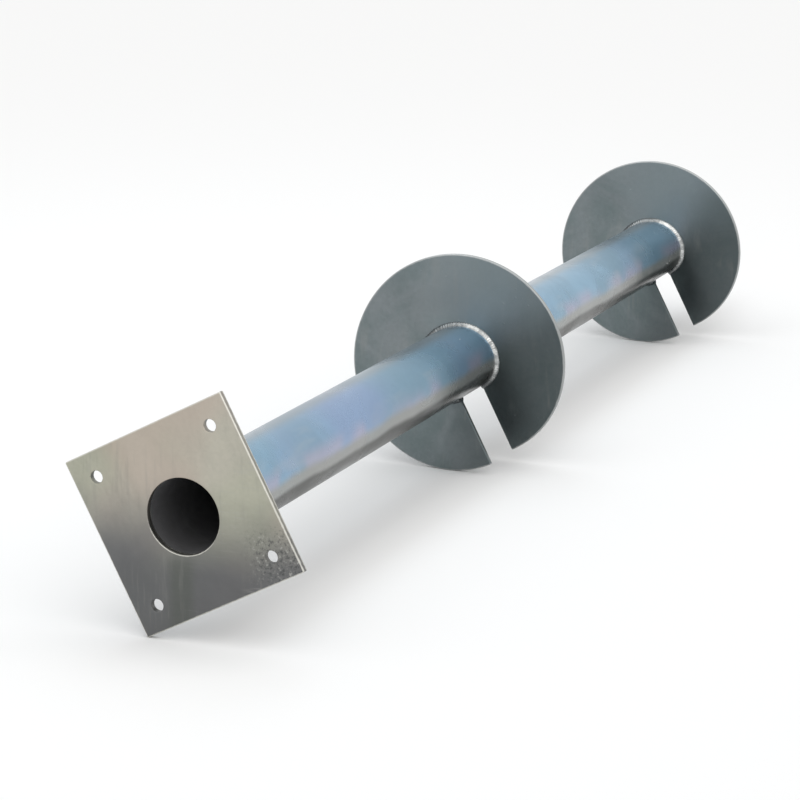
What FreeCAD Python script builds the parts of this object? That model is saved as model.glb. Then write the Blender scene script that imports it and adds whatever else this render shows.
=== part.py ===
import FreeCAD, Part
import os

import Sketcher

# Helical ground pile, lying down. The origin is the centre of the top plate's outer face.
# +X runs down the shaft to the tip and +Z is up. The pile rests on the rims of its two
# helix plates and on one corner of its square top plate.

doc = FreeCAD.newDocument("helical_pile")
sheet = doc.addObject("Spreadsheet::Sheet", "Dims")

# Driving dimensions: millimetres and degrees
DRIVING = [
    ("plate_side", 260, "square top plate, edge to edge"),
    ("plate_thick", 10, "top plate thickness"),
    ("bolt_hole_dia", 18, "corner holes, clearance for 16 mm bolts"),
    ("bolt_spacing", 190, "corner holes, centre to centre along an edge"),
    ("tube_od", 114.3, "shaft tube outside diameter"),
    ("tube_wall", 4, "shaft tube wall"),
    ("tube_length", 2210, "shaft tube, back of the plate to the tip collar"),
    ("helix_dia", 350, "helix plates, outside diameter"),
    ("helix_thick", 8, "helix plate thickness"),
    ("helix_pitch", 100, "rise of a helix plate in its one turn"),
    ("lower_setback", 220, "start of the lower helix, back from the end of the tube"),
    ("helix_spacing", 1050, "upper helix to lower helix"),
    ("cut_turn", 45, "radial cuts of the helix plates, from the resting plate corner"),
    ("tip_length", 210, "pressed point, collar to nose"),
    ("tip_collar", 10, "round collar of the point, where it is welded to the tube"),
    ("tip_wall", 4, "wall of the pressed point"),
    ("press_run", 26, "length of the steep part of a pressed side, behind the collar"),
    ("press_share", 0.8, "axis to the middle of a pressed side, as a share of the crease's reach"),
    ("nose_radius", 4, "axis to a crease at the blunt nose"),
    ("tip_turn", 45, "roll of the vented side of the point from straight up"),
    ("vent_dia", 16, "vent hole in the point"),
    ("vent_reach", 150, "nose to the vent hole, along the axis"),
    ("plate_weld_leg", 7, "fillet weld behind the top plate"),
    ("helix_weld_leg", 6, "fillet welds along the helix plates"),
    ("seam_width", 14, "weld bead round the point's collar, along the axis"),
    ("seam_height", 2.5, "how far that bead stands off the tube"),
]
# Dimensions that follow from the driving ones
DERIVED = [
    ("tube_radius", "=tube_od / 2", "outside radius of the shaft"),
    ("bore_dia", "=tube_od - 2 * tube_wall", "tube bore, and the plate's middle hole"),
    ("tube_end", "=plate_thick + tube_length", "plate face to the point's collar"),
    # The helix plates keep their places from the tip, which does the digging
    ("lower_start", "=tube_end - lower_setback", "plate face to the start of the lower helix"),
    ("upper_start", "=lower_start - helix_spacing", "plate face to the start of the upper helix"),
    ("pressed_at", "=tip_collar + press_run", "collar's edge to the end of the steep part of a side"),
    ("cone_slope", "=(tube_radius - nose_radius) / (tip_length - tip_collar)", "fall of a crease"),
    ("press_reach", "=press_share * (tube_radius - cone_slope * press_run)", "axis to a side, there"),
    ("nose_flat", "=press_share * nose_radius", "axis to the middle of a side at the nose"),
    # The hollow keeps the wall behind the sides and runs out where they come together
    ("hollow_end", "=pressed_at + (press_reach - tip_wall) / (press_share * cone_slope)", "its end"),
    # The plate is rolled until one corner is as low as the helix rims
    ("corner_lean", "=acos(min(1; helix_dia / (plate_side * sqrt(2)))) / 1 deg", "resting corner, off plumb"),
    ("plate_roll", "=corner_lean - 45", "roll of the square plate about the shaft"),
    ("cut_roll", "=corner_lean - 90 - cut_turn", "roll of the helix cuts about the shaft"),
]

row = 0
for alias, value, note in DRIVING + DERIVED:
    row += 1
    sheet.set("A%d" % row, alias)
    sheet.set("B%d" % row, str(value))
    sheet.set("C%d" % row, note)
    sheet.setAlias("B%d" % row, alias)
doc.recompute()

X_AXIS = FreeCAD.Vector(1, 0, 0)
NORMAL = FreeCAD.Vector(0, 0, 1)
CENTRE = (-1, 1)


def new_body(label):
    body = doc.addObject("PartDesign::Body", label)
    body.Label = label
    return body


def place_on_shaft(body, distance=None, roll=None):
    # Slides a body along the shaft and rolls it about the shaft. The sheet's roll replaces the
    # starting one, which only sets the axis
    starting_roll = 10 if roll else 0
    body.Placement = FreeCAD.Placement(FreeCAD.Vector(), FreeCAD.Rotation(X_AXIS, starting_roll))
    if distance:
        body.setExpression("Placement.Base.x", distance)
    if roll:
        body.setExpression("Placement.Rotation.Angle", roll)


def origin_part(body, role):
    return [part for part in body.Origin.OriginFeatures if part.Role == role][0]


def new_sketch(body, name, role, distance=None):
    # A sketch on one of the body's own planes, lifted off it by an expression
    sketch = body.newObject("Sketcher::SketchObject", name)
    sketch.AttachmentSupport = [(origin_part(body, role), "")]
    sketch.MapMode = "FlatFace"
    if distance:
        sketch.setExpression("AttachmentOffset.Base.z", distance)
    return sketch


def drive(sketch, kind, name, expression, value, *where):
    # One named dimension of a sketch, bound to the sheet
    index = sketch.addConstraint(Sketcher.Constraint(kind, *where, value))
    sketch.renameConstraint(index, name)
    sketch.setExpression("Constraints." + name, expression)


def add_circle(sketch, name, diameter):
    circle = Part.Circle(FreeCAD.Vector(), NORMAL, 50)
    index = sketch.addGeometry(circle)
    sketch.addConstraint(Sketcher.Constraint("Coincident", index, 3, *CENTRE))
    drive(sketch, "Diameter", name, diameter, 100, index)


def add_square(sketch, name, side, half, construction=False):
    # A square about the sketch's centre
    corners = [FreeCAD.Vector(sx * half, sy * half) for sx, sy in ((-1, -1), (1, -1), (1, 1), (-1, 1))]
    lines = []
    for index in range(4):
        edge = Part.LineSegment(corners[index], corners[(index + 1) % 4])
        lines.append(sketch.addGeometry(edge, construction))
    for index in range(4):
        following = lines[(index + 1) % 4]
        sketch.addConstraint(Sketcher.Constraint("Coincident", lines[index], 2, following, 1))
        level = "Horizontal" if index % 2 == 0 else "Vertical"
        sketch.addConstraint(Sketcher.Constraint(level, lines[index]))
    sketch.addConstraint(Sketcher.Constraint("Symmetric", lines[0], 1, lines[1], 2, *CENTRE))
    sketch.addConstraint(Sketcher.Constraint("Equal", lines[0], lines[1]))
    drive(sketch, "DistanceX", name, side, 2 * half, lines[0], 1, lines[0], 2)
    return lines


def add_polygon(sketch, points):
    # A closed outline whose corners are bound to the sheet: each point gives its start and its
    # two expressions, and None is a coordinate of zero, on the sketch's own axis
    lines = []
    count = len(points)
    for index in range(count):
        start = points[index][0]
        end = points[(index + 1) % count][0]
        lines.append(sketch.addGeometry(Part.LineSegment(FreeCAD.Vector(*start), FreeCAD.Vector(*end))))
    for index in range(count):
        following = lines[(index + 1) % count]
        sketch.addConstraint(Sketcher.Constraint("Coincident", lines[index], 2, following, 1))
    for index, (start, across, up) in enumerate(points):
        corner = (lines[index], 1)
        if across:
            drive(sketch, "DistanceX", "across_%d" % index, across, start[0], *CENTRE, *corner)
        else:
            sketch.addConstraint(Sketcher.Constraint("PointOnObject", *corner, -2))
        if up:
            drive(sketch, "DistanceY", "up_%d" % index, up, start[1], *CENTRE, *corner)
        else:
            sketch.addConstraint(Sketcher.Constraint("PointOnObject", *corner, -1))


def add_feature(body, kind, name, profile=None):
    feature = body.newObject("PartDesign::" + kind, name)
    if profile:
        feature.Profile = profile
        profile.Visibility = False
    return feature


def make_top_plate():
    # Square plate with a middle hole that carries on the bore, and a hole near each corner
    body = new_body("top_plate")
    outline = new_sketch(body, "plate_outline", "YZ_Plane")
    add_square(outline, "side", "Dims.plate_side", 130)
    add_circle(outline, "bore", "Dims.bore_dia")
    pad = add_feature(body, "Pad", "plate_pad", outline)
    pad.setExpression("Length", "Dims.plate_thick")
    holes = new_sketch(body, "plate_holes", "YZ_Plane")
    square = add_square(holes, "spacing", "Dims.bolt_spacing", 95, construction=True)
    first = None
    for line in square:
        hole = holes.addGeometry(Part.Circle(holes.getPoint(line, 1), NORMAL, 9))
        holes.addConstraint(Sketcher.Constraint("Coincident", hole, 3, line, 1))
        if first is None:
            first = hole
            drive(holes, "Diameter", "hole", "Dims.bolt_hole_dia", 18, hole)
        else:
            holes.addConstraint(Sketcher.Constraint("Equal", first, hole))
    pocket = add_feature(body, "Pocket", "corner_holes", holes)
    pocket.Reversed = True
    pocket.setExpression("Length", "Dims.plate_thick")
    place_on_shaft(body, roll="Dims.plate_roll")
    return body, pocket


def make_shaft_tube():
    # Round tube from the back of the plate to the collar of the point
    body = new_body("shaft_tube")
    ring = new_sketch(body, "tube_ring", "YZ_Plane")
    add_circle(ring, "outside", "Dims.tube_od")
    add_circle(ring, "bore", "Dims.bore_dia")
    pad = add_feature(body, "Pad", "tube_pad", ring)
    pad.setExpression("Length", "Dims.tube_length")
    place_on_shaft(body, distance="Dims.plate_thick")
    return body


def make_helix(label, start):
    # One right-handed turn of plate. Its section is a blade that stands on the tube between two
    # fillet welds, swept round the shaft, and its ends are radial cuts
    body = new_body(label)
    root = "Dims.tube_radius"
    rim = "Dims.helix_dia / 2"
    leg = "Dims.helix_weld_leg"
    toe = root + " + " + leg
    thick = "Dims.helix_thick"
    section = new_sketch(body, label + "_section", "XY_Plane")
    add_polygon(section, [
        ((-6, 57), "-" + leg, root),
        ((14, 57), thick + " + " + leg, root),
        ((8, 63), thick, toe),
        ((8, 175), thick, rim),
        ((0, 175), None, rim),
        ((0, 63), None, toe),
    ])
    turn = add_feature(body, "AdditiveHelix", label + "_turn", section)
    turn.ReferenceAxis = (section, ["H_Axis"])
    turn.Mode = "pitch-height-angle"
    turn.setExpression("Pitch", "Dims.helix_pitch")
    turn.setExpression("Height", "Dims.helix_pitch")
    place_on_shaft(body, distance=start, roll="Dims.cut_roll")
    return body


def make_ring(label, section, distance):
    # Turns a section, already drawn beside the shaft, once about the shaft
    revolution = add_feature(section.getParentGeoFeatureGroup(), "Revolution", label + "_turned", section)
    revolution.ReferenceAxis = (section, ["H_Axis"])
    revolution.Angle = 360
    place_on_shaft(section.getParentGeoFeatureGroup(), distance=distance)


def make_plate_weld():
    # Fillet weld in the corner between the plate's back and the tube
    body = new_body("plate_weld")
    section = new_sketch(body, "plate_weld_section", "XY_Plane")
    add_polygon(section, [
        ((0, 57), None, "Dims.tube_radius"),
        ((7, 57), "Dims.plate_weld_leg", "Dims.tube_radius"),
        ((0, 64), None, "Dims.tube_radius + Dims.plate_weld_leg"),
    ])
    make_ring("plate_weld", section, "Dims.plate_thick")
    return body


def make_seam_weld():
    # Low bead with a flat crown over the butt joint between the tube and the point
    body = new_body("seam_weld")
    half = "Dims.seam_width / 2"
    crown = "Dims.tube_radius + Dims.seam_height"
    section = new_sketch(body, "seam_weld_section", "XY_Plane")
    add_polygon(section, [
        ((-7, 57), "-" + half, "Dims.tube_radius"),
        ((7, 57), half, "Dims.tube_radius"),
        ((3, 60), half + " / 2", crown),
        ((-3, 60), "-" + half + " / 2", crown),
    ])
    make_ring("seam_weld", section, "Dims.tube_end")
    return body


def make_pressed_point():
    # The point starts as a hollow cone with a round collar. It is pressed in on four sides: each
    # side drops steeply behind the collar and then runs flat to the nose, and between the sides
    # the cone is left as a narrow rounded crease
    body = new_body("pressed_point")
    wall = "Dims.tip_wall"
    collar = "Dims.tip_collar"
    length = "Dims.tip_length"
    shell = new_sketch(body, "point_shell", "XY_Plane")
    add_polygon(shell, [
        ((0, 57), None, "Dims.tube_radius"),
        ((10, 57), collar, "Dims.tube_radius"),
        ((210, 4), length, "Dims.nose_radius"),
        ((210, 0), length, None),
        ((204, 0), "Dims.hollow_end", None),
        ((36, 36), "Dims.pressed_at", "Dims.press_reach - " + wall),
        ((10, 53), collar, "Dims.tube_radius - " + wall),
        ((0, 53), None, "Dims.tube_radius - " + wall),
    ])
    cone = add_feature(body, "Revolution", "point_cone", shell)
    cone.ReferenceAxis = (shell, ["H_Axis"])
    cone.Angle = 360
    side = new_sketch(body, "pressed_side", "XZ_Plane")
    add_polygon(side, [
        ((10, 57), collar, "Dims.tube_radius"),
        ((36, 40), "Dims.pressed_at", "Dims.press_reach"),
        ((210, 3), length, "Dims.nose_flat"),
        ((210, 60), length, "Dims.tube_radius + " + wall),
        ((10, 60), collar, "Dims.tube_radius + " + wall),
    ])
    press = add_feature(body, "Pocket", "pressed_side_cut", side)
    press.Type = "ThroughAll"
    press.Midplane = True
    sides = add_feature(body, "PolarPattern", "pressed_sides")
    sides.Originals = [press]
    sides.Axis = (origin_part(body, "X_Axis"), [""])
    sides.Occurrences = 4
    sides.Angle = 360
    body.Tip = sides
    vent_outline = new_sketch(body, "vent_outline", "XY_Plane")
    vent_hole = vent_outline.addGeometry(Part.Circle(FreeCAD.Vector(60, 0), NORMAL, 8))
    vent_outline.addConstraint(Sketcher.Constraint("PointOnObject", vent_hole, 3, -1))
    drive(vent_outline, "DistanceX", "place", length + " - Dims.vent_reach", 60, *CENTRE, vent_hole, 3)
    drive(vent_outline, "Diameter", "vent", "Dims.vent_dia", 16, vent_hole)
    vent = add_feature(body, "Pocket", "vent_pocket", vent_outline)
    vent.Reversed = True
    vent.setExpression("Length", "Dims.tube_radius")
    place_on_shaft(body, distance="Dims.tube_end", roll="Dims.tip_turn")
    return body, press, sides, vent


top_plate, corner_holes = make_top_plate()
pressed_point, first_side, all_sides, vent_pocket = make_pressed_point()
parts = [top_plate, make_shaft_tube(), make_plate_weld(), make_seam_weld(), pressed_point]
parts += [make_helix("upper_helix", "Dims.upper_start"), make_helix("lower_helix", "Dims.lower_start")]
doc.recompute()

# Every object must have computed, every part must be a sound solid, and every cut must cut
for thing in doc.Objects:
    if "Invalid" in thing.State or "Error" in thing.State:
        raise RuntimeError("%s did not compute: %s" % (thing.Label, thing.State))
for part in parts:
    if part.Shape.isNull() or not part.Shape.isValid() or len(part.Shape.Solids) != 1:
        raise RuntimeError("%s is not one sound solid" % part.Label)
for cut in (corner_holes, first_side, all_sides, vent_pocket):
    if cut.Shape.Volume >= cut.BaseFeature.Shape.Volume - 1:
        raise RuntimeError("%s removes nothing" % cut.Label)

os.makedirs("parts", exist_ok=True)
for part in parts:
    part.Shape.exportStep("parts/%s.step" % part.Label)
    box = part.Shape.BoundBox
    print("%-24s volume %10.0f  x %7.1f..%7.1f  y %6.1f..%6.1f  z %6.1f..%6.1f" % (
        part.Label, part.Shape.Volume, box.XMin, box.XMax, box.YMin, box.YMax, box.ZMin, box.ZMax))
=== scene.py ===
import math
import random

import bmesh
import bpy
from mathutils import Matrix, Vector, noise


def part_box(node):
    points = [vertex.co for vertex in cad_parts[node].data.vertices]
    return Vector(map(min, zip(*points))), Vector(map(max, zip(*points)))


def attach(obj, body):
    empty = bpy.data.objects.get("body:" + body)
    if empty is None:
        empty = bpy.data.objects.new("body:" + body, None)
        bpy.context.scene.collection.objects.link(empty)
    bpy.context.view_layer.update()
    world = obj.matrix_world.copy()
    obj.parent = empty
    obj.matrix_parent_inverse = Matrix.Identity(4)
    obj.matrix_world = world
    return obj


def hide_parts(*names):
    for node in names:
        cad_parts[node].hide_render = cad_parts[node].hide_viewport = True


# Helical pile, galvanised, lying on the rims of its helix plates and a corner of its top plate.
# Metres, in the frame of the solids: the origin is the centre of the plate's outer face, +X runs to
# the tip and +Z is up.

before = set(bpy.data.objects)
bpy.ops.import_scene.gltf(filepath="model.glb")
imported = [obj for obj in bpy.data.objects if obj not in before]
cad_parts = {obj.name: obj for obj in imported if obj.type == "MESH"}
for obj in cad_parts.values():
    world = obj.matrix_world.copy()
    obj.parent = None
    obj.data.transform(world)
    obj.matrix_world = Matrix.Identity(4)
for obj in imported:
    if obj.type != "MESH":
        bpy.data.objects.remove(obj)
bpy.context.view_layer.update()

SHAFT = Vector((1, 0, 0))
FULL_TURN = 2 * math.pi
plate_low, plate_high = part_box("top_plate")
tube_low, tube_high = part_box("shaft_tube")
FLOOR = plate_low.z

# Sizes of the real pieces, the same as the solids have. The plate's lean is the angle of its lowest
# corner from straight down, and the vent's side is an angle about the shaft, from +Y towards +Z
PLATE_SIDE = 0.260
PLATE_THICK = plate_high.x
PLATE_LEAN = math.radians(17.8)
BOLT_PLACE = 0.095
BOLT_RADIUS = 0.009
TUBE_RADIUS = 0.05715
BORE_RADIUS = 0.05315
TUBE_START = tube_low.x
TUBE_END = tube_high.x
HELIX_RADIUS = 0.175
HELIX_THICK = 0.008
HELIX_PITCH = 0.100
HELIX_WELD = 0.006
PLATE_WELD = 0.007
BLADE_CUT = PLATE_LEAN - math.radians(135)
UPPER_START = 0.950
LOWER_START = 2.000
COLLAR = 0.010
PRESSED_AT = 0.036
POINT_LENGTH = 0.210
NOSE_RADIUS = 0.004
SIDE_SHARE = 0.8
POINT_WALL = 0.004
VENT_PLACE = 0.060
VENT_RADIUS = 0.008
VENT_SIDE = math.radians(135)
POINT_FALL = (TUBE_RADIUS - NOSE_RADIUS) / (POINT_LENGTH - COLLAR)

# Fine detail that only this scene has
PLATE_CORNER = 0.0016
PLATE_ROLL = 0.0009
PLATE_RIM = 0.0013
BLADE_ROLL = 0.0014
BLADE_RIM = 0.0018
BLADE_SUNK = 0.0008
BLADE_WARP = 0.0012
TUBE_UNEVEN = 0.00012
BEAD_SUNK = 0.001
BEAD_SWELL = 0.16
SIDE_DISH = 0.05
CREASE_ROUND = 0.045


# Small helpers for bmesh work

def rough(point, size, seed):
    # Smooth noise from -1 to 1 at a place, with bumps of the given size
    return noise.noise(Vector(point) / size + Vector((seed, 3 * seed, 7 * seed)))


def reach(place):
    # Distance of a place from the shaft's axis
    return math.hypot(place.y, place.z)


def bearing(place):
    # Angle of a place about the shaft, from +Y towards +Z
    return math.atan2(place.z, place.y)


def around(along, out, angle):
    # The place at a length along the shaft, a distance from its axis and an angle about it
    return Vector((along, out * math.cos(angle), out * math.sin(angle)))


def lift(vert, height):
    # Moves a vertex away from the shaft's axis
    out = Vector((0, vert.co.y, vert.co.z)).normalized()
    vert.co += out * height


def section(bm, corners):
    # A closed row of edges through corners, each a length along the shaft and a distance from its axis
    verts = [bm.verts.new((along, out, 0)) for along, out in corners]
    edges = [bm.edges.new(pair) for pair in zip(verts, verts[1:] + verts[:1])]
    return verts, edges


def turn_full(bm, geom, steps):
    # One closed turn about the shaft
    bmesh.ops.spin(bm, geom=geom, cent=(0, 0, 0), axis=SHAFT, angle=FULL_TURN, steps=steps, use_merge=True)


def turn_helix(bm, geom, steps):
    # One turn about the shaft that climbs along it by the pitch
    bmesh.ops.spin(bm, geom=geom, cent=(0, 0, 0), axis=SHAFT, dvec=SHAFT * (HELIX_PITCH / steps),
                   angle=FULL_TURN, steps=steps)


def seat_helix(bm, start):
    # Turns what was wound from the origin to the blade's cut, and moves it to its place on the shaft
    bmesh.ops.rotate(bm, cent=(0, 0, 0), matrix=Matrix.Rotation(BLADE_CUT, 3, SHAFT), verts=bm.verts)
    bmesh.ops.translate(bm, verts=bm.verts, vec=(start, 0, 0))


def tidy(bm):
    # Joins the vertices that lie on each other and turns every face outward
    bmesh.ops.remove_doubles(bm, verts=bm.verts, dist=1e-6)
    bmesh.ops.recalc_face_normals(bm, faces=bm.faces)


def shade(bm, crease_angle=0.6):
    # Smooth shading that breaks at the hard edges
    for face in bm.faces:
        face.smooth = True
    for edge in bm.edges:
        edge.smooth = edge.is_manifold and edge.calc_face_angle(0) < crease_angle


def add_object(name, data):
    made = bpy.data.objects.new(name, data)
    bpy.context.scene.collection.objects.link(made)
    return made


def add_mesh(name, bm, materials):
    mesh = bpy.data.meshes.new(name)
    bm.to_mesh(mesh)
    bm.free()
    for material in materials:
        mesh.materials.append(material)
    return add_object(name, mesh)


def new_piece(name, bm, materials, slot, *nodes):
    # A visible piece on the one body, and the solids that it stands for
    piece = add_mesh(name, bm, materials)
    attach(piece, "root")
    if nodes:
        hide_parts(*nodes)


# Small helpers for shader trees. An input goes by its name, with underscores for the blanks, or by an
# underscore and its number

def feed(tree, socket, value):
    # Links an input to another node's output, or gives it a plain value
    if isinstance(value, bpy.types.NodeSocket):
        tree.links.new(value, socket)
    else:
        socket.default_value = value


def node(tree, kind, settings=None, **values):
    made = tree.nodes.new("ShaderNode" + kind)
    for key, value in (settings or {}).items():
        setattr(made, key, value)
    for key, value in values.items():
        label = int(key[1:]) if key[1:].isdigit() else key.replace("_", " ")
        feed(tree, made.inputs[label], value)
    return made


def maths(tree, operation, first, second=None, clamp=False):
    made = node(tree, "Math", {"operation": operation, "use_clamp": clamp}, _0=first)
    if second is not None:
        feed(tree, made.inputs[1], second)
    return made.outputs[0]


def times(tree, product, *factors):
    for factor in factors:
        product = maths(tree, "MULTIPLY", product, factor)
    return product


def vector_maths(tree, operation, *values):
    made = node(tree, "VectorMath", {"operation": operation})
    for socket, value in zip(made.inputs, values):
        feed(tree, socket, value)
    return made.outputs["Value" if operation in ("DISTANCE", "DOT_PRODUCT") else "Vector"]


def outward(tree, place):
    # Unit vector from the shaft's axis towards a place
    return vector_maths(tree, "NORMALIZE", vector_maths(tree, "MULTIPLY", place, (0, 1, 1)))


def ramp(tree, value, low, high):
    # 0 below low, 1 above high, smooth between
    made = node(tree, "MapRange", {"interpolation_type": "SMOOTHSTEP"}, Value=value, From_Min=low,
                From_Max=high)
    return made.outputs["Result"]


def fade(tree, value, low, high):
    # 1 below low, 0 above high, smooth between
    return maths(tree, "SUBTRACT", 1.0, ramp(tree, value, low, high))


def blend(tree, factor, first, second):
    return node(tree, "Mix", {"data_type": "RGBA"}, _0=factor, _6=first, _7=second).outputs[2]


def clouds(tree, place, per_metre, detail, **more):
    # Outputs of cloudy noise
    return node(tree, "TexNoise", Vector=place, Scale=per_metre, Detail=detail, **more).outputs


# Shader groups, each used by several of the zinc finishes

def new_group(name, inputs, outputs):
    group = bpy.data.node_groups.new(name, "ShaderNodeTree")
    for way, sockets in (("INPUT", inputs), ("OUTPUT", outputs)):
        for label, kind in sockets.items():
            group.interface.new_socket(label, in_out=way, socket_type="NodeSocket" + kind)
    given = group.nodes.new("NodeGroupInput").outputs
    result = group.nodes.new("NodeGroupOutput").inputs
    return group, given, result


def make_mottle_group():
    # Cloudy zinc: fresh and dull patches, with faint crystal flakes over them
    group, given, result = new_group(
        "zinc_mottle",
        {"Place": "Vector", "Fresh": "Color", "Dull": "Color", "Patches per metre": "Float",
         "Flakes per metre": "Float", "Flake strength": "Float"},
        {"Colour": "Color", "Dullness": "Float"})
    patches = clouds(group, given["Place"], given["Patches per metre"], detail=5.0, Roughness=0.62,
                     Distortion=0.6)
    dullness = ramp(group, patches["Fac"], 0.36, 0.66)
    flakes = node(group, "TexVoronoi", Vector=given["Place"], Scale=given["Flakes per metre"])
    tone = node(group, "SeparateColor", Color=flakes.outputs["Color"]).outputs[0]
    swing = times(group, maths(group, "SUBTRACT", tone, 0.5), given["Flake strength"])
    base = blend(group, dullness, given["Fresh"], given["Dull"])
    light = node(group, "HueSaturation", Color=base, Value=maths(group, "ADD", swing, 1.0))
    group.links.new(light.outputs["Color"], result["Colour"])
    group.links.new(dullness, result["Dullness"])
    return group


def make_streak_group():
    # Runs and scratches: long along the axis that the squeeze makes short, narrow across, and broken
    group, given, result = new_group(
        "zinc_runs",
        {"Place": "Vector", "Streaks per metre": "Float", "Squeeze": "Vector", "Amount": "Float"},
        {"Mask": "Float"})
    flat = vector_maths(group, "MULTIPLY", given["Place"], given["Squeeze"])
    grain = clouds(group, flat, given["Streaks per metre"], detail=3.0, Roughness=0.55)["Fac"]
    breaks = clouds(group, given["Place"], per_metre=11.0, detail=2.0)["Fac"]
    mask = times(group, ramp(group, grain, 0.50, 0.68), ramp(group, breaks, 0.40, 0.62), given["Amount"])
    group.links.new(mask, result["Mask"])
    return group


def make_bright_rim_group():
    # Bright rims, partly rubbed wear and partly painted highlight: the piece's own rim attribute, broken up
    group, given, result = new_group("rubbed_and_highlit_rim", {"Place": "Vector", "Amount": "Float"}, {"Mask": "Float"})
    rim = node(group, "Attribute", {"attribute_name": "rim"}).outputs["Fac"]
    chips = clouds(group, given["Place"], per_metre=140.0, detail=3.0)["Fac"]
    kept = ramp(group, maths(group, "ADD", rim, chips), 0.95, 1.35)
    group.links.new(maths(group, "MULTIPLY", kept, given["Amount"], clamp=True), result["Mask"])
    return group


def make_skin_group():
    # Relief of a dipped skin: long soft lumps, fine grain and a few pimples
    group, given, result = new_group(
        "zinc_skin",
        {"Place": "Vector", "Lumps per metre": "Float", "Lump height": "Float", "Grain per metre": "Float",
         "Grain height": "Float", "Pimple height": "Float"},
        {"Normal": "Vector"})
    place = given["Place"]
    lumps = clouds(group, place, given["Lumps per metre"], detail=2.0, Roughness=0.4)["Fac"]
    grain = clouds(group, place, given["Grain per metre"], detail=1.0)["Fac"]
    # One cell in eight or so holds a pimple
    spots = node(group, "TexVoronoi", Vector=place, Scale=95.0).outputs
    pimple = fade(group, spots["Distance"], 0.04, 0.20)
    picked = ramp(group, node(group, "SeparateColor", Color=spots["Color"]).outputs[1], 0.86, 0.90)
    height = maths(group, "ADD", times(group, lumps, given["Lump height"]),
                   times(group, grain, given["Grain height"]))
    height = maths(group, "ADD", height, times(group, pimple, picked, given["Pimple height"]))
    relief = node(group, "Bump", Strength=1.0, Distance=1.0, Height=height)
    group.links.new(relief.outputs["Normal"], result["Normal"])
    return group


MOTTLE = make_mottle_group()
RUNS = make_streak_group()
RIM = make_bright_rim_group()
SKIN = make_skin_group()


class Finish:
    # A zinc material: mottled metal first, then tones laid over it, and its roughness and relief last.
    # Colours are linear, and every pattern is fixed to the place on the pile

    def __init__(self, name, fresh, dull, patches, flakes, flake_strength, metallic=1.0):
        self.material = bpy.data.materials.new(name)
        self.material.use_nodes = True
        self.tree = self.material.node_tree
        self.shader = self.tree.nodes["Principled BSDF"]
        self.shader.inputs["Metallic"].default_value = metallic
        self.place = node(self.tree, "TexCoord").outputs["Object"]
        self.axis = node(self.tree, "SeparateXYZ", Vector=self.place).outputs
        zinc = self.group(MOTTLE, Fresh=fresh, Dull=dull, Patches_per_metre=patches,
                          Flakes_per_metre=flakes, Flake_strength=flake_strength)
        self.colour, self.dullness = zinc["Colour"], zinc["Dullness"]

    def group(self, group, **values):
        return node(self.tree, "Group", {"node_tree": group}, Place=self.place, **values).outputs

    def clouds(self, per_metre, detail, **more):
        return clouds(self.tree, self.place, per_metre, detail, **more)

    def waver(self, value, amount, per_metre, detail):
        # A value that wanders from place to place, by up to half the amount either way
        cloud = self.clouds(per_metre, detail)["Fac"]
        shift = times(self.tree, maths(self.tree, "SUBTRACT", cloud, 0.5), amount)
        return maths(self.tree, "ADD", value, shift)

    def streaks(self, per_metre, squeeze, amount):
        return self.group(RUNS, Streaks_per_metre=per_metre, Squeeze=squeeze, Amount=amount)["Mask"]

    def cover(self, tone, *masks):
        # Lays a tone over the colour, as strongly as the product of the masks says
        self.colour = blend(self.tree, times(self.tree, *masks), self.colour, tone)

    def brighten_rims(self, tone, amount):
        # The bright rim tone is rubbed wear and painted highlight together
        self.cover(tone, self.group(RIM, Amount=amount)["Mask"])

    def complete(self, roughness, lumps, grain, pimple_height):
        # Gives the shader its colour, a roughness that grows with the dullness, and the relief.
        # Lumps and grain are each a number per metre and a height
        spread = node(self.tree, "MapRange", Value=self.dullness, To_Min=roughness[0], To_Max=roughness[1])
        relief = self.group(SKIN, Lumps_per_metre=lumps[0], Lump_height=lumps[1], Grain_per_metre=grain[0],
                            Grain_height=grain[1], Pimple_height=pimple_height)
        for label, value in (("Base Color", self.colour), ("Roughness", spread.outputs["Result"]),
                             ("Normal", relief["Normal"])):
            self.tree.links.new(value, self.shader.inputs[label])
        return self.material


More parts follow.
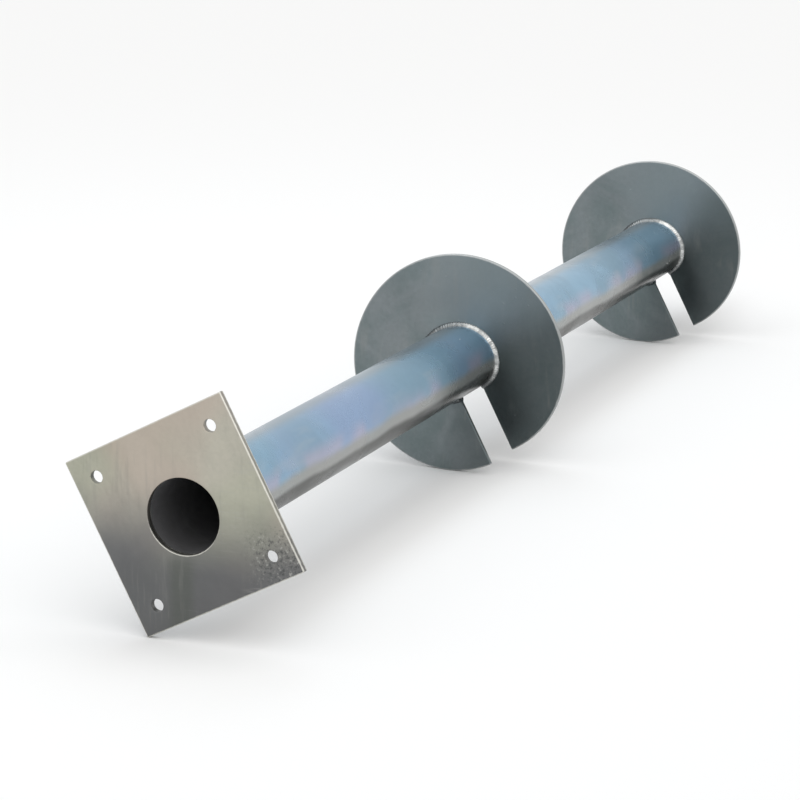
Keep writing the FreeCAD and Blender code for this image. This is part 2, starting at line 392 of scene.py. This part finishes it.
def make_plate_finish():
    # Warm dull zinc with green and pink casts, lighter and warmer than the helix plates partly as painted
    # sunlight
    finish = Finish("zinc_plate_skin", fresh=(0.47, 0.45, 0.385, 1), dull=(0.41, 0.40, 0.345, 1),
                    patches=7.0, flakes=210.0, flake_strength=0.05)
    tree = finish.tree
    deep, across, height = (finish.axis[letter] for letter in "XYZ")
    tints = finish.clouds(per_metre=5.5, detail=1.0)["Color"]
    tints = node(tree, "SeparateColor", Color=tints).outputs
    finish.cover((0.375, 0.400, 0.300, 1), ramp(tree, tints[0], 0.45, 0.62), 0.35)
    finish.cover((0.480, 0.400, 0.345, 1), ramp(tree, tints[1], 0.47, 0.64), 0.55)
    # It greys towards the ground: painted shade, darker towards the bottom
    level = finish.waver(height, amount=0.10, per_metre=6.0, detail=3.0)
    finish.cover((0.128, 0.131, 0.138, 1), fade(tree, level, -0.085, 0.060), 0.93)
    # A stain hangs below the bore, and pale runs lie over it
    stain_middle = 0.004
    side = maths(tree, "ABSOLUTE", maths(tree, "ADD", across, -stain_middle))
    finish.cover((0.105, 0.115, 0.100, 1), fade(tree, side, 0.008, 0.026),
                 fade(tree, height, -0.070, -0.045), 0.5)
    finish.cover((0.25, 0.25, 0.235, 1), finish.streaks(120.0, squeeze=(1, 1, 0.11), amount=0.24))
    # The right-hand half is scratched crosswise
    finish.cover((0.40, 0.40, 0.385, 1), finish.streaks(260.0, squeeze=(1, 0.06, 1), amount=0.26),
                 fade(tree, across, -0.05, 0.02))
    # Dark and bright specks lie round the corner where the zinc pooled
    corner = vector_maths(tree, "DISTANCE", finish.place, (0, -0.160, -0.060))
    corner = finish.waver(corner, amount=0.12, per_metre=14.0, detail=2.0)
    pooled = fade(tree, corner, 0.025, 0.085)
    specks = finish.clouds(per_metre=170.0, detail=4.0, Roughness=0.7)["Fac"]
    finish.cover((0.075, 0.078, 0.080, 1), ramp(tree, specks, 0.53, 0.60), pooled, 0.65)
    finish.cover((0.52, 0.52, 0.49, 1), fade(tree, specks, 0.36, 0.43), pooled, 0.5)
    # The side faces, the only ones between the front and the back, are darker than the rolled edges: painted
    # shade
    finish.cover((0.170, 0.168, 0.160, 1), ramp(tree, deep, 0.0008, 0.0030), 0.6,
                 fade(tree, deep, 0.0085, 0.0095))
    finish.brighten_rims((0.66, 0.65, 0.60, 1), amount=0.75)
    return finish.complete(roughness=(0.46, 0.60), lumps=(14.0, 0.0008), grain=(520.0, 0.00005),
                           pimple_height=0.00022)


def make_tube_finish():
    # Bright smooth zinc, cool and blue above from a painted sky reflection, with violet patches
    finish = Finish("zinc_tube_skin", fresh=(0.225, 0.385, 0.520, 1), dull=(0.200, 0.325, 0.425, 1),
                    patches=5.0, flakes=90.0, flake_strength=0.035, metallic=0.72)
    tree = finish.tree
    patches = finish.clouds(per_metre=3.2, detail=1.5)["Fac"]
    finish.cover((0.255, 0.325, 0.535, 1), ramp(tree, patches, 0.48, 0.72), 0.55)
    # It is greyer over the top and down the far side, where the painted sky reflection stops
    finish.cover((0.245, 0.290, 0.318, 1), ramp(tree, finish.axis["Y"], -0.018, 0.006), 0.75)
    # Pinkish patches lie from a little above half height down
    level = finish.waver(finish.axis["Z"], amount=0.012, per_metre=8.0, detail=2.0)
    patches = finish.clouds(per_metre=9.0, detail=1.0)["Fac"]
    finish.cover((0.400, 0.375, 0.480, 1), fade(tree, level, 0.010, 0.034),
                 ramp(tree, patches, 0.42, 0.62), 0.7)
    # A painted reflection makes a pale line at half height, and below it painted shade makes the tube dark
    finish.cover((0.305, 0.308, 0.288, 1), fade(tree, level, -0.003, 0.012), 0.92)
    finish.cover((0.060, 0.062, 0.058, 1), fade(tree, level, -0.018, -0.008), 0.97)
    # Faint pale streaks run along it
    finish.cover((0.42, 0.45, 0.47, 1), finish.streaks(26.0, squeeze=(0.2, 1, 1), amount=0.22))
    return finish.complete(roughness=(0.20, 0.32), lumps=(7.0, 0.0016), grain=(160.0, 0.0),
                           pimple_height=0.00010)


def make_blade_finish():
    # Grey zinc of the helix plates, darker than the top plate partly as painted shade, with a painted
    # highlight fan above the tube and a painted shade fan beside it
    finish = Finish("zinc_helix_skin", fresh=(0.205, 0.230, 0.240, 1), dull=(0.160, 0.195, 0.200, 1),
                    patches=8.0, flakes=170.0, flake_strength=0.07)
    tree = finish.tree
    # Clouds shift the place by up to 50 mm, so that the fans have soft uneven edges
    bent = finish.clouds(per_metre=7.0, detail=2.0)["Color"]
    shift = vector_maths(tree, "MULTIPLY_ADD", bent, (0, 0.10, 0.10), (0, -0.05, -0.05))
    out = outward(tree, vector_maths(tree, "ADD", finish.place, shift))
    highlit_side = vector_maths(tree, "DOT_PRODUCT", out, (0, -0.35, 0.94))
    shaded_side = vector_maths(tree, "DOT_PRODUCT", out, (0, -0.94, -0.34))
    # Painted highlight above the tube, and painted shade beside it
    finish.cover((0.255, 0.295, 0.310, 1), ramp(tree, highlit_side, 0.45, 1.0), 0.65)
    finish.cover((0.070, 0.086, 0.088, 1), ramp(tree, shaded_side, 0.15, 0.90), 0.62)
    finish.cover((0.30, 0.30, 0.29, 1), finish.streaks(60.0, squeeze=(1, 1, 0.125), amount=0.20))
    finish.brighten_rims((0.45, 0.46, 0.455, 1), amount=0.65)
    return finish.complete(roughness=(0.38, 0.52), lumps=(12.0, 0.0011), grain=(460.0, 0.00005),
                           pimple_height=0.0003)


def make_point_finish():
    # Bright silver zinc of the point, with dark runs along it and creases that are rubbed and carry a
    # painted highlight
    finish = Finish("zinc_point_skin", fresh=(0.46, 0.47, 0.48, 1), dull=(0.205, 0.215, 0.220, 1),
                    patches=26.0, flakes=200.0, flake_strength=0.10)
    finish.cover((0.150, 0.158, 0.165, 1), finish.streaks(75.0, squeeze=(0.12, 1, 1), amount=0.60))
    finish.brighten_rims((0.68, 0.68, 0.67, 1), amount=0.75)
    return finish.complete(roughness=(0.26, 0.42), lumps=(40.0, 0.0005), grain=(520.0, 0.00005),
                           pimple_height=0.00025)


def make_weld_finish():
    # Weld metal under zinc, bright on the near side, with painted shade round the rest
    finish = Finish("zinc_weld_skin", fresh=(0.62, 0.63, 0.62, 1), dull=(0.30, 0.31, 0.31, 1),
                    patches=90.0, flakes=420.0, flake_strength=0.15)
    tree = finish.tree
    lit_side = vector_maths(tree, "DOT_PRODUCT", outward(tree, finish.place), (0, -0.95, 0.30))
    finish.cover((0.13, 0.14, 0.145, 1), fade(tree, lit_side, 0.25, 0.85), 0.85)
    return finish.complete(roughness=(0.22, 0.40), lumps=(160.0, 0.0003), grain=(700.0, 0.00005),
                           pimple_height=0.0)


def make_bore_finish():
    # Unlit inside of the tube and the point: zinc darkened as painted shade
    finish = Finish("zinc_bore_skin", fresh=(0.130, 0.130, 0.135, 1), dull=(0.100, 0.100, 0.104, 1),
                    patches=12.0, flakes=90.0, flake_strength=0.10, metallic=0.3)
    return finish.complete(roughness=(0.60, 0.75), lumps=(30.0, 0.0006), grain=(300.0, 0.0001),
                           pimple_height=0.0)


plate_finish = make_plate_finish()
tube_finish = make_tube_finish()
blade_finish = make_blade_finish()
point_finish = make_point_finish()
weld_finish = make_weld_finish()
bore_finish = make_bore_finish()


# The top plate

def soft_square(bm, half, corner, height):
    # A closed loop round a square with rounded corners. A circle is turned by half a step, so that six
    # of its vertices lie in each quarter, and the quarters move out to the corners
    half_step = math.radians(7.5)
    loop = bmesh.ops.create_circle(bm, segments=24, radius=corner / math.cos(half_step),
                                   matrix=Matrix.Rotation(half_step, 4, "Z"))["verts"]
    side = half - corner
    for vert in loop:
        vert.co += Vector((math.copysign(side, vert.co.x), math.copysign(side, vert.co.y), height))
    return loop


def round_hole(bm, place, radius, count, height):
    # A closed loop round a hole
    return bmesh.ops.create_circle(bm, segments=count, radius=radius,
                                   matrix=Matrix.Translation((*place, height)))["verts"]


def loop_edges(verts):
    # The edges of a fresh closed loop, each once and in the same order every time
    return list(dict.fromkeys(edge for vert in verts for edge in vert.link_edges))


def rolled_edge(half):
    # Rings from the flat face over its rolled edge to the middle: how far in each lies, and how high
    rings = [(PLATE_ROLL + PLATE_RIM, -half)]
    for turn in (0, 30, 60, 90):
        bend = math.radians(turn)
        rings.append((PLATE_ROLL * (1 - math.sin(bend)), PLATE_ROLL * (1 - math.cos(bend)) - half))
    return rings + [(0.0, 0.0)]


def make_plate():
    # Square plate with softened corners, a bore and four bolt holes, all with rolled edges
    bm = bmesh.new()
    rim = bm.verts.layers.float.new("rim")

    def outside(inward, high):
        corner = max(PLATE_CORNER - inward, 0.0002)
        return soft_square(bm, PLATE_SIDE / 2 - inward, corner, high)

    def hole(place, radius, count):
        return lambda inward, high: round_hole(bm, place, radius + inward, count, high)

    # Each outline with the brightness of its edge, which is rubbed wear and painted highlight
    outlines = [(outside, 1.0), (hole((0, 0), BORE_RADIUS, count=128), 1.0)]
    for across in (-BOLT_PLACE, BOLT_PLACE):
        for up in (-BOLT_PLACE, BOLT_PLACE):
            outlines.append((hole((across, up), BOLT_RADIUS, count=40), 0.25))
    rings = rolled_edge(PLATE_THICK / 2)
    rubbed_and_lit = rings[1:-1]
    face = []
    for outline, brightness in outlines:
        loops = []
        for ring in rings:
            verts = outline(*ring)
            loops.append(loop_edges(verts))
            for vert in verts:
                vert[rim] = brightness if ring in rubbed_and_lit else 0.0
        for first, second in zip(loops, loops[1:]):
            bmesh.ops.bridge_loops(bm, edges=first + second)
        face += loops[0]
    bmesh.ops.triangle_fill(bm, edges=face, use_beauty=True)
    bmesh.ops.mirror(bm, geom=bm.verts[:] + bm.edges[:] + bm.faces[:], axis="Z", merge_dist=1e-5)
    tidy(bm)
    bmesh.ops.translate(bm, verts=bm.verts, vec=(0, 0, PLATE_THICK / 2))
    # The plate was made lying flat; it turns to face back along the shaft, and leans
    stand = Matrix(((0, 0, 1, 0), (1, 0, 0, 0), (0, 1, 0, 0), (0, 0, 0, 1)))
    lean = Matrix.Rotation(PLATE_LEAN - math.radians(45), 4, SHAFT)
    bmesh.ops.transform(bm, matrix=lean @ stand, verts=bm.verts)
    # The bore's edge is bright along its lower half only, a painted highlight over the rubbed rim
    bore_edge = BORE_RADIUS + 0.003
    for vert in bm.verts:
        if reach(vert.co) < bore_edge:
            vert[rim] *= 0.35 + 0.65 * max(-vert.co.z / BORE_RADIUS, 0.0)
    shade(bm)
    new_piece("plate", bm, [plate_finish], "zinc_plate", "top_plate")


# The tube and the helix plates

def make_tube():
    # Long round tube: outside, bore and the two ends that the plate and the point cover
    bm = bmesh.new()
    rows = 44
    outside = [(TUBE_START + (TUBE_END - TUBE_START) * i / rows, TUBE_RADIUS) for i in range(rows + 1)]
    verts, edges = section(bm, outside + [(TUBE_END, BORE_RADIUS), (TUBE_START, BORE_RADIUS)])
    turn_full(bm, verts + edges, steps=160)
    tidy(bm)
    for vert in bm.verts:
        if reach(vert.co) > TUBE_RADIUS - 1e-5:
            lift(vert, TUBE_UNEVEN * rough(vert.co, size=0.07, seed=1.0) - TUBE_UNEVEN)
    for face in bm.faces:
        in_bore = reach(face.calc_center_median()) < BORE_RADIUS + 1e-4
        face.material_index = 1 if in_bore else 0
    shade(bm)
    new_piece("tube", bm, [tube_finish, bore_finish], "zinc_tube", "shaft_tube")


def make_blade(name, start, seed, node_name):
    # One turn of plate round the shaft, with rolled rims and a little unevenness from forming
    bm = bmesh.new()
    rows = 10
    root = TUBE_RADIUS - BLADE_SUNK
    field = HELIX_RADIUS - (BLADE_ROLL + BLADE_RIM)
    reaches = [root + (field - root) * i / rows for i in range(rows + 1)] + [HELIX_RADIUS]
    front = [(0, out) for out in reaches]
    rear = [(HELIX_THICK, out) for out in reversed(reaches)]
    bmesh.ops.contextual_create(bm, geom=section(bm, front + rear)[1])
    turn_helix(bm, bm.faces[:] + bm.edges[:] + bm.verts[:], steps=216)
    tidy(bm)
    # Every edge that is nearly square rolls, except at the root
    nearly_square = 1.2
    rims = [edge for edge in bm.edges if edge.is_manifold and edge.calc_face_angle(0) > nearly_square
            and min(reach(vert.co) for vert in edge.verts) > TUBE_RADIUS]
    bmesh.ops.bevel(bm, geom=rims, offset=BLADE_ROLL, segments=3, profile=0.5, affect="EDGES", material=-1)
    rim = bm.verts.layers.float.new("rim")
    # The outer rim is rubbed and carries a painted highlight
    rubbed_and_lit = HELIX_RADIUS - 0.0020
    for vert in bm.verts:
        vert[rim] = 1.0 if reach(vert.co) > rubbed_and_lit else 0.0
        free = (reach(vert.co) - TUBE_RADIUS) / (HELIX_RADIUS - TUBE_RADIUS)
        vert.co.x += BLADE_WARP * free * rough((0, vert.co.y, vert.co.z), 0.09, seed)
    seat_helix(bm, start)
    shade(bm)
    new_piece(name, bm, [blade_finish], "zinc_helix", node_name)


# The welds

def bead_section(bm, foot, leg, side):
    # Cross-section of a fillet bead in the corner of a face and the tube. The side is -1 where the
    # bead lies before the face and 1 where it lies behind
    sunk = TUBE_RADIUS - BEAD_SUNK
    corners = [(foot - side * BEAD_SUNK, sunk), (foot + side * leg, sunk)]
    points = 6
    for index in range(1, points + 1):
        share = index / points
        swell = 1 + BEAD_SWELL * math.sin(math.pi * share)
        corners.append((foot + side * leg * (1 - share) * swell, TUBE_RADIUS + leg * share * swell))
    corners.append((foot - side * BEAD_SUNK, corners[-1][1]))
    return section(bm, corners)


def ripple(bm, foot_of, pitch, depth, seed):
    # Gives a bead the ripples of the weld pool and a wandering size, except near its foot
    near = 0.0025
    for vert in bm.verts:
        angle = bearing(vert.co)
        foot = foot_of(vert, angle)
        arm = vert.co - around(foot, TUBE_RADIUS, angle)
        if arm.length < near:
            continue
        # The ripples bow, because the middle of the bead trails behind its two toes
        slope = math.atan2(max(reach(vert.co) - TUBE_RADIUS, 0.0), abs(vert.co.x - foot))
        bow = 0.8 * math.sin(2 * slope)
        wave = math.sin(FULL_TURN * (angle * TUBE_RADIUS / pitch + 0.25 * bow))
        wander = rough((angle * 3, seed, foot), 0.35, seed)
        vert.co += arm.normalized() * (depth * wave + 2.0 * depth * wander)


def make_head_bead():
    # Fillet weld all round the tube behind the plate
    bm = bmesh.new()
    verts, edges = bead_section(bm, PLATE_THICK, PLATE_WELD, side=1)
    turn_full(bm, verts + edges, steps=400)
    tidy(bm)
    ripple(bm, lambda vert, angle: PLATE_THICK, pitch=0.0042, depth=0.00030, seed=2.0)
    shade(bm, 1.0)
    new_piece("head_bead", bm, [weld_finish], "zinc_weld", "plate_weld")


def make_helix_beads(name, start, seed):
    # The two fillet welds along a helix plate's root, one before it and one behind
    bm = bmesh.new()
    for foot, side in ((0.0, -1), (HELIX_THICK, 1)):
        verts, edges = bead_section(bm, foot, HELIX_WELD, side)
        end = bm.faces.new(verts)
        turn_helix(bm, [end] + edges + verts, steps=380)
    tidy(bm)

    def foot_of(vert, angle):
        # The nearer face of the plate at this turn of the helix
        rise = HELIX_PITCH * (angle % FULL_TURN) / FULL_TURN
        feet = [rise + face + turn for face in (0.0, HELIX_THICK) for turn in (0.0, HELIX_PITCH)]
        return min(feet, key=lambda foot: abs(foot - vert.co.x))

    ripple(bm, foot_of, pitch=0.0038, depth=0.00026, seed=seed)
    seat_helix(bm, start)
    shade(bm, 1.0)
    new_piece(name, bm, [weld_finish], "zinc_weld")


def make_seam_bead():
    # Low wide bead over the joint between the tube and the point
    bm = bmesh.new()
    half, height, toe, points = 0.007, 0.0025, TUBE_RADIUS - 0.0003, 10
    corners = [(TUBE_END - half, TUBE_RADIUS - BEAD_SUNK)]
    for index in range(points + 1):
        angle = math.pi * index / points
        corners.append((TUBE_END - half * math.cos(angle), toe + height * math.sin(angle)))
    corners.append((TUBE_END + half, TUBE_RADIUS - BEAD_SUNK))
    verts, edges = section(bm, corners)
    turn_full(bm, verts + edges, steps=420)
    tidy(bm)
    pitch, depth, unevenness = 0.0055, 0.00022, 0.0005
    for vert in bm.verts:
        if reach(vert.co) > TUBE_RADIUS:
            angle = bearing(vert.co)
            bow = ((vert.co.x - TUBE_END) / half) ** 2
            wave = math.sin(FULL_TURN * (angle * TUBE_RADIUS / pitch + 0.35 * bow))
            lift(vert, depth * wave + unevenness * rough((angle * 3, vert.co.x * 20, 0), 0.4, 9.0))
    shade(bm, 1.0)
    new_piece("seam_bead", bm, [weld_finish], "zinc_weld", "seam_weld")


def make_spatter():
    # Beads of spatter that froze on the tube by the welds
    bm = bmesh.new()
    draw = random.Random(7)
    for centre, spread, count in ((TUBE_END - 0.020, 0.007, 44), (LOWER_START - 0.018, 0.006, 16),
                                  (UPPER_START - 0.016, 0.005, 14)):
        for _ in range(count):
            angle = draw.uniform(0, FULL_TURN)
            size = draw.uniform(0.0004, 0.0010)
            seat = Matrix.Translation(around(draw.gauss(centre, spread), TUBE_RADIUS, angle))
            bmesh.ops.create_icosphere(bm, subdivisions=1, radius=size, matrix=seat)
    shade(bm, 2.0)
    new_piece("spatter", bm, [weld_finish], "zinc_weld")


# The point

def side_angle(turned):
    # Angle from the middle of the nearest pressed side, for an angle from the vented side's middle
    quarter = math.pi / 2
    return (turned + quarter / 2) % quarter - quarter / 2


def cone_radius(along):
    # Distance from the axis to the creases, which is the cone that the point had before the pressing
    return TUBE_RADIUS - POINT_FALL * (along - COLLAR)


def point_skin(turned, along):
    # Distance of the point's skin from the axis: the cone, cut back by four dished sides
    if along <= COLLAR:
        return TUBE_RADIUS
    cone = cone_radius(along)
    if along < PRESSED_AT:
        share = (along - COLLAR) / (PRESSED_AT - COLLAR)
        pressed = cone_radius(PRESSED_AT)
        middle = TUBE_RADIUS + share * share * (3 - 2 * share) * (SIDE_SHARE * pressed - TUBE_RADIUS)
        dish = SIDE_DISH * pressed * share
    else:
        middle = SIDE_SHARE * cone
        dish = SIDE_DISH * cone
    # The dish is deepest in a side's middle and ends before the creases, which are rounded
    off = side_angle(turned)
    flat = middle / math.cos(off) - dish * max(0.0, math.cos(2.4 * off)) ** 2
    soft = CREASE_ROUND * cone
    near = max(soft - abs(flat - cone), 0.0) / soft
    return min(flat, cone) - near * near * soft / 4


def point_bore(turned, along):
    # Distance of the hollow's round wall from the axis
    mouth = TUBE_RADIUS - POINT_WALL
    if along <= COLLAR:
        return mouth
    pressed = SIDE_SHARE * cone_radius(PRESSED_AT) - POINT_WALL
    if along < PRESSED_AT:
        share = (along - COLLAR) / (PRESSED_AT - COLLAR)
        return mouth + share * (pressed - mouth)
    return pressed - SIDE_SHARE * POINT_FALL * (along - PRESSED_AT)


def run_skin(bm, ring, stations):
    # Carries a ring of edges along the point, from station to station, and gives its last vertices
    for along, skin in stations:
        grown = bmesh.ops.extrude_edge_only(bm, edges=ring)["geom"]
        verts = [item for item in grown if isinstance(item, bmesh.types.BMVert)]
        fresh = set(verts)
        ring = [item for item in grown if isinstance(item, bmesh.types.BMEdge) and set(item.verts) <= fresh]
        for vert in verts:
            angle = bearing(vert.co)
            vert.co = around(along, skin(angle - VENT_SIDE, along), angle)
    return verts


def cut_vent(bm):
    # Opens the vent through the skin and the hollow's wall, and joins the two openings
    out = around(0, 1, VENT_SIDE)
    across = Vector((0, -out.z, out.y))
    middle = Vector((VENT_PLACE, 0, 0))

    def off_axis(point):
        arm = point - middle
        return Vector((arm.x, arm.dot(across)))

    gone = []
    for face in bm.faces:
        centre = face.calc_center_median()
        if centre.dot(out) > 0 and off_axis(centre).length < 0.94 * VENT_RADIUS:
            gone.append(face)
    bmesh.ops.delete(bm, geom=gone, context="FACES")
    rims = [edge for edge in bm.edges if edge.is_boundary]
    for vert in {vert for edge in rims for vert in edge.verts}:
        skin = point_skin if reach(vert.co) > point_bore(0.0, vert.co.x) + 0.002 else point_bore
        place = off_axis(vert.co).normalized() * VENT_RADIUS
        along = VENT_PLACE + place.x
        height = vert.co.dot(out)
        for _ in range(3):
            # Each round brings the height nearer to where the hole's wall meets the skin
            turned = math.atan2(place.y, height)
            height = skin(turned, along) * math.cos(turned)
        vert.co = Vector((along, 0, 0)) + across * place.y + out * height
    bmesh.ops.bridge_loops(bm, edges=rims)


def make_point():
    # Hollow point with four pressed sides, narrow creases between them and a vent hole in one side.
    # One skin runs from the far end of the hollow back to the mouth, over it, and out to the tip
    bm = bmesh.new()
    # Stations along the point: the collar, the steep part, close ones along the vent, and the rest
    lengths = [0.0, 0.005, 0.010] + [0.010 + 0.002 * i for i in range(1, 18)]
    lengths += [0.0455 + 0.00115 * i for i in range(26)] + [0.0775 + 0.0035 * i for i in range(37)]
    last_ring, hollow_end = 0.203, 0.2055
    stations = [(along, point_bore) for along in reversed(lengths) if along < last_ring]
    stations += [(along, point_skin) for along in lengths]
    # The nose rounds off in three more
    for along, share in ((0.2068, 0.93), (0.2084, 0.76), (0.2095, 0.48)):
        stations.append((along, lambda turned, place, share=share: share * point_skin(turned, place)))
    first = bmesh.ops.create_circle(bm, segments=192, radius=0.001,
                                    matrix=Matrix.Rotation(math.pi / 2, 4, "Y"))["verts"]
    last = run_skin(bm, loop_edges(first), stations)
    bmesh.ops.pointmerge(bm, verts=first, merge_co=(hollow_end, 0, 0))
    bmesh.ops.pointmerge(bm, verts=last, merge_co=(POINT_LENGTH, 0, 0))
    cut_vent(bm)
    bmesh.ops.recalc_face_normals(bm, faces=bm.faces)
    bm.normal_update()
    # The creases are rubbed bright and carry a painted highlight, most on the ridge, which is 45 degrees off
    # a side's middle
    rim = bm.verts.layers.float.new("rim")
    bright_from = 37
    for vert in bm.verts:
        off = math.degrees(abs(side_angle(bearing(vert.co) - VENT_SIDE)))
        crease = max((off - bright_from) / (45 - bright_from), 0.0)
        vert[rim] = crease if vert.co.x > COLLAR else 0.3
    for face in bm.faces:
        centre = face.calc_center_median()
        inward = face.normal.y * centre.y + face.normal.z * centre.z < 0
        face.material_index = 1 if inward else 0
    bmesh.ops.translate(bm, verts=bm.verts, vec=(TUBE_END, 0, 0))
    shade(bm, 0.7)
    new_piece("point", bm, [point_finish, bore_finish], "zinc_point", "pressed_point")


make_plate()
make_tube()
make_point()
make_blade("upper_blade", UPPER_START, 3.0, "upper_helix")
make_blade("lower_blade", LOWER_START, 5.0, "lower_helix")
make_head_bead()
make_helix_beads("upper_root_beads", UPPER_START, 4.0)
make_helix_beads("lower_root_beads", LOWER_START, 6.0)
make_seam_bead()
make_spatter()


# The studio

def make_floor():
    bm = bmesh.new()
    bmesh.ops.create_grid(bm, x_segments=1, y_segments=1, size=30,
                          matrix=Matrix.Translation((8, 4, FLOOR)))
    material = bpy.data.materials.new("pale_floor")
    material.use_nodes = True
    shader = material.node_tree.nodes["Principled BSDF"]
    shader.inputs["Base Color"].default_value = (0.95, 0.95, 0.95, 1)
    shader.inputs["Roughness"].default_value = 1.0
    shader.inputs["Specular IOR Level"].default_value = 0.0
    floor = add_mesh("floor", bm, [material])


def make_world():
    # White to the camera, to gloss and to glass, and a plain fill for everything else
    world = bpy.data.worlds.new("studio")
    bpy.context.scene.world = world
    world.use_nodes = True
    tree = world.node_tree
    tree.nodes.clear()
    rays = node(tree, "LightPath").outputs
    seen = maths(tree, "ADD", rays["Is Camera Ray"], rays["Is Glossy Ray"])
    seen = maths(tree, "ADD", seen, rays["Is Transmission Ray"], clamp=True)
    fill = node(tree, "Background", Color=(0.98, 0.99, 1.0, 1), Strength=0.60)
    white = node(tree, "Background", Color=(1, 1, 1, 1), Strength=1.0)
    mix = node(tree, "MixShader", _0=seen, _1=fill.outputs[0], _2=white.outputs[0])
    node(tree, "OutputWorld", Surface=mix.outputs[0])


def add_light(name, kind, turn, **settings):
    data = bpy.data.lights.new(name, kind)
    for key, value in settings.items():
        setattr(data, key, value)
    light = add_object(name, data)
    light.rotation_euler = turn.to_euler()
    return light


def add_lights():
    # Daylight that comes evenly from a wide part of the sky, high on the camera's side
    source = Vector((-0.35, -0.55, 1.0))
    add_light("day", "SUN", source.to_track_quat("Z", "Y"), angle=math.radians(100), energy=1.50,
              color=(1.0, 0.985, 0.96))
    # A cool lamp over the far side of the shaft
    place, aim = Vector((1.1, 0.9, 2.6)), Vector((1.1, 0.0, 0))
    sky = add_light("sky", "AREA", (aim - place).to_track_quat("-Z", "Y"), shape="RECTANGLE", size=3.6,
                    size_y=1.0, energy=13, color=(0.84, 0.93, 1.0))
    sky.location = place


def place_camera():
    # The photograph's station and viewing angle, with a longer lens so that one pile fills the view
    data = bpy.data.cameras.new("camera")
    data.sensor_width = 36
    data.lens = 128
    data.clip_end = 200
    camera = add_object("camera", data)
    camera.location = (-3.236, -1.635, 1.040)
    turn, tilt = math.radians(22.27), math.radians(-13.70)
    ahead = Vector((math.cos(tilt) * math.cos(turn), math.cos(tilt) * math.sin(turn), math.sin(tilt)))
    camera.rotation_euler = ahead.to_track_quat("-Z", "Y").to_euler()
    bpy.context.scene.camera = camera


make_floor()
make_world()
add_lights()
place_camera()
bpy.context.scene.view_settings.view_transform = "Standard"
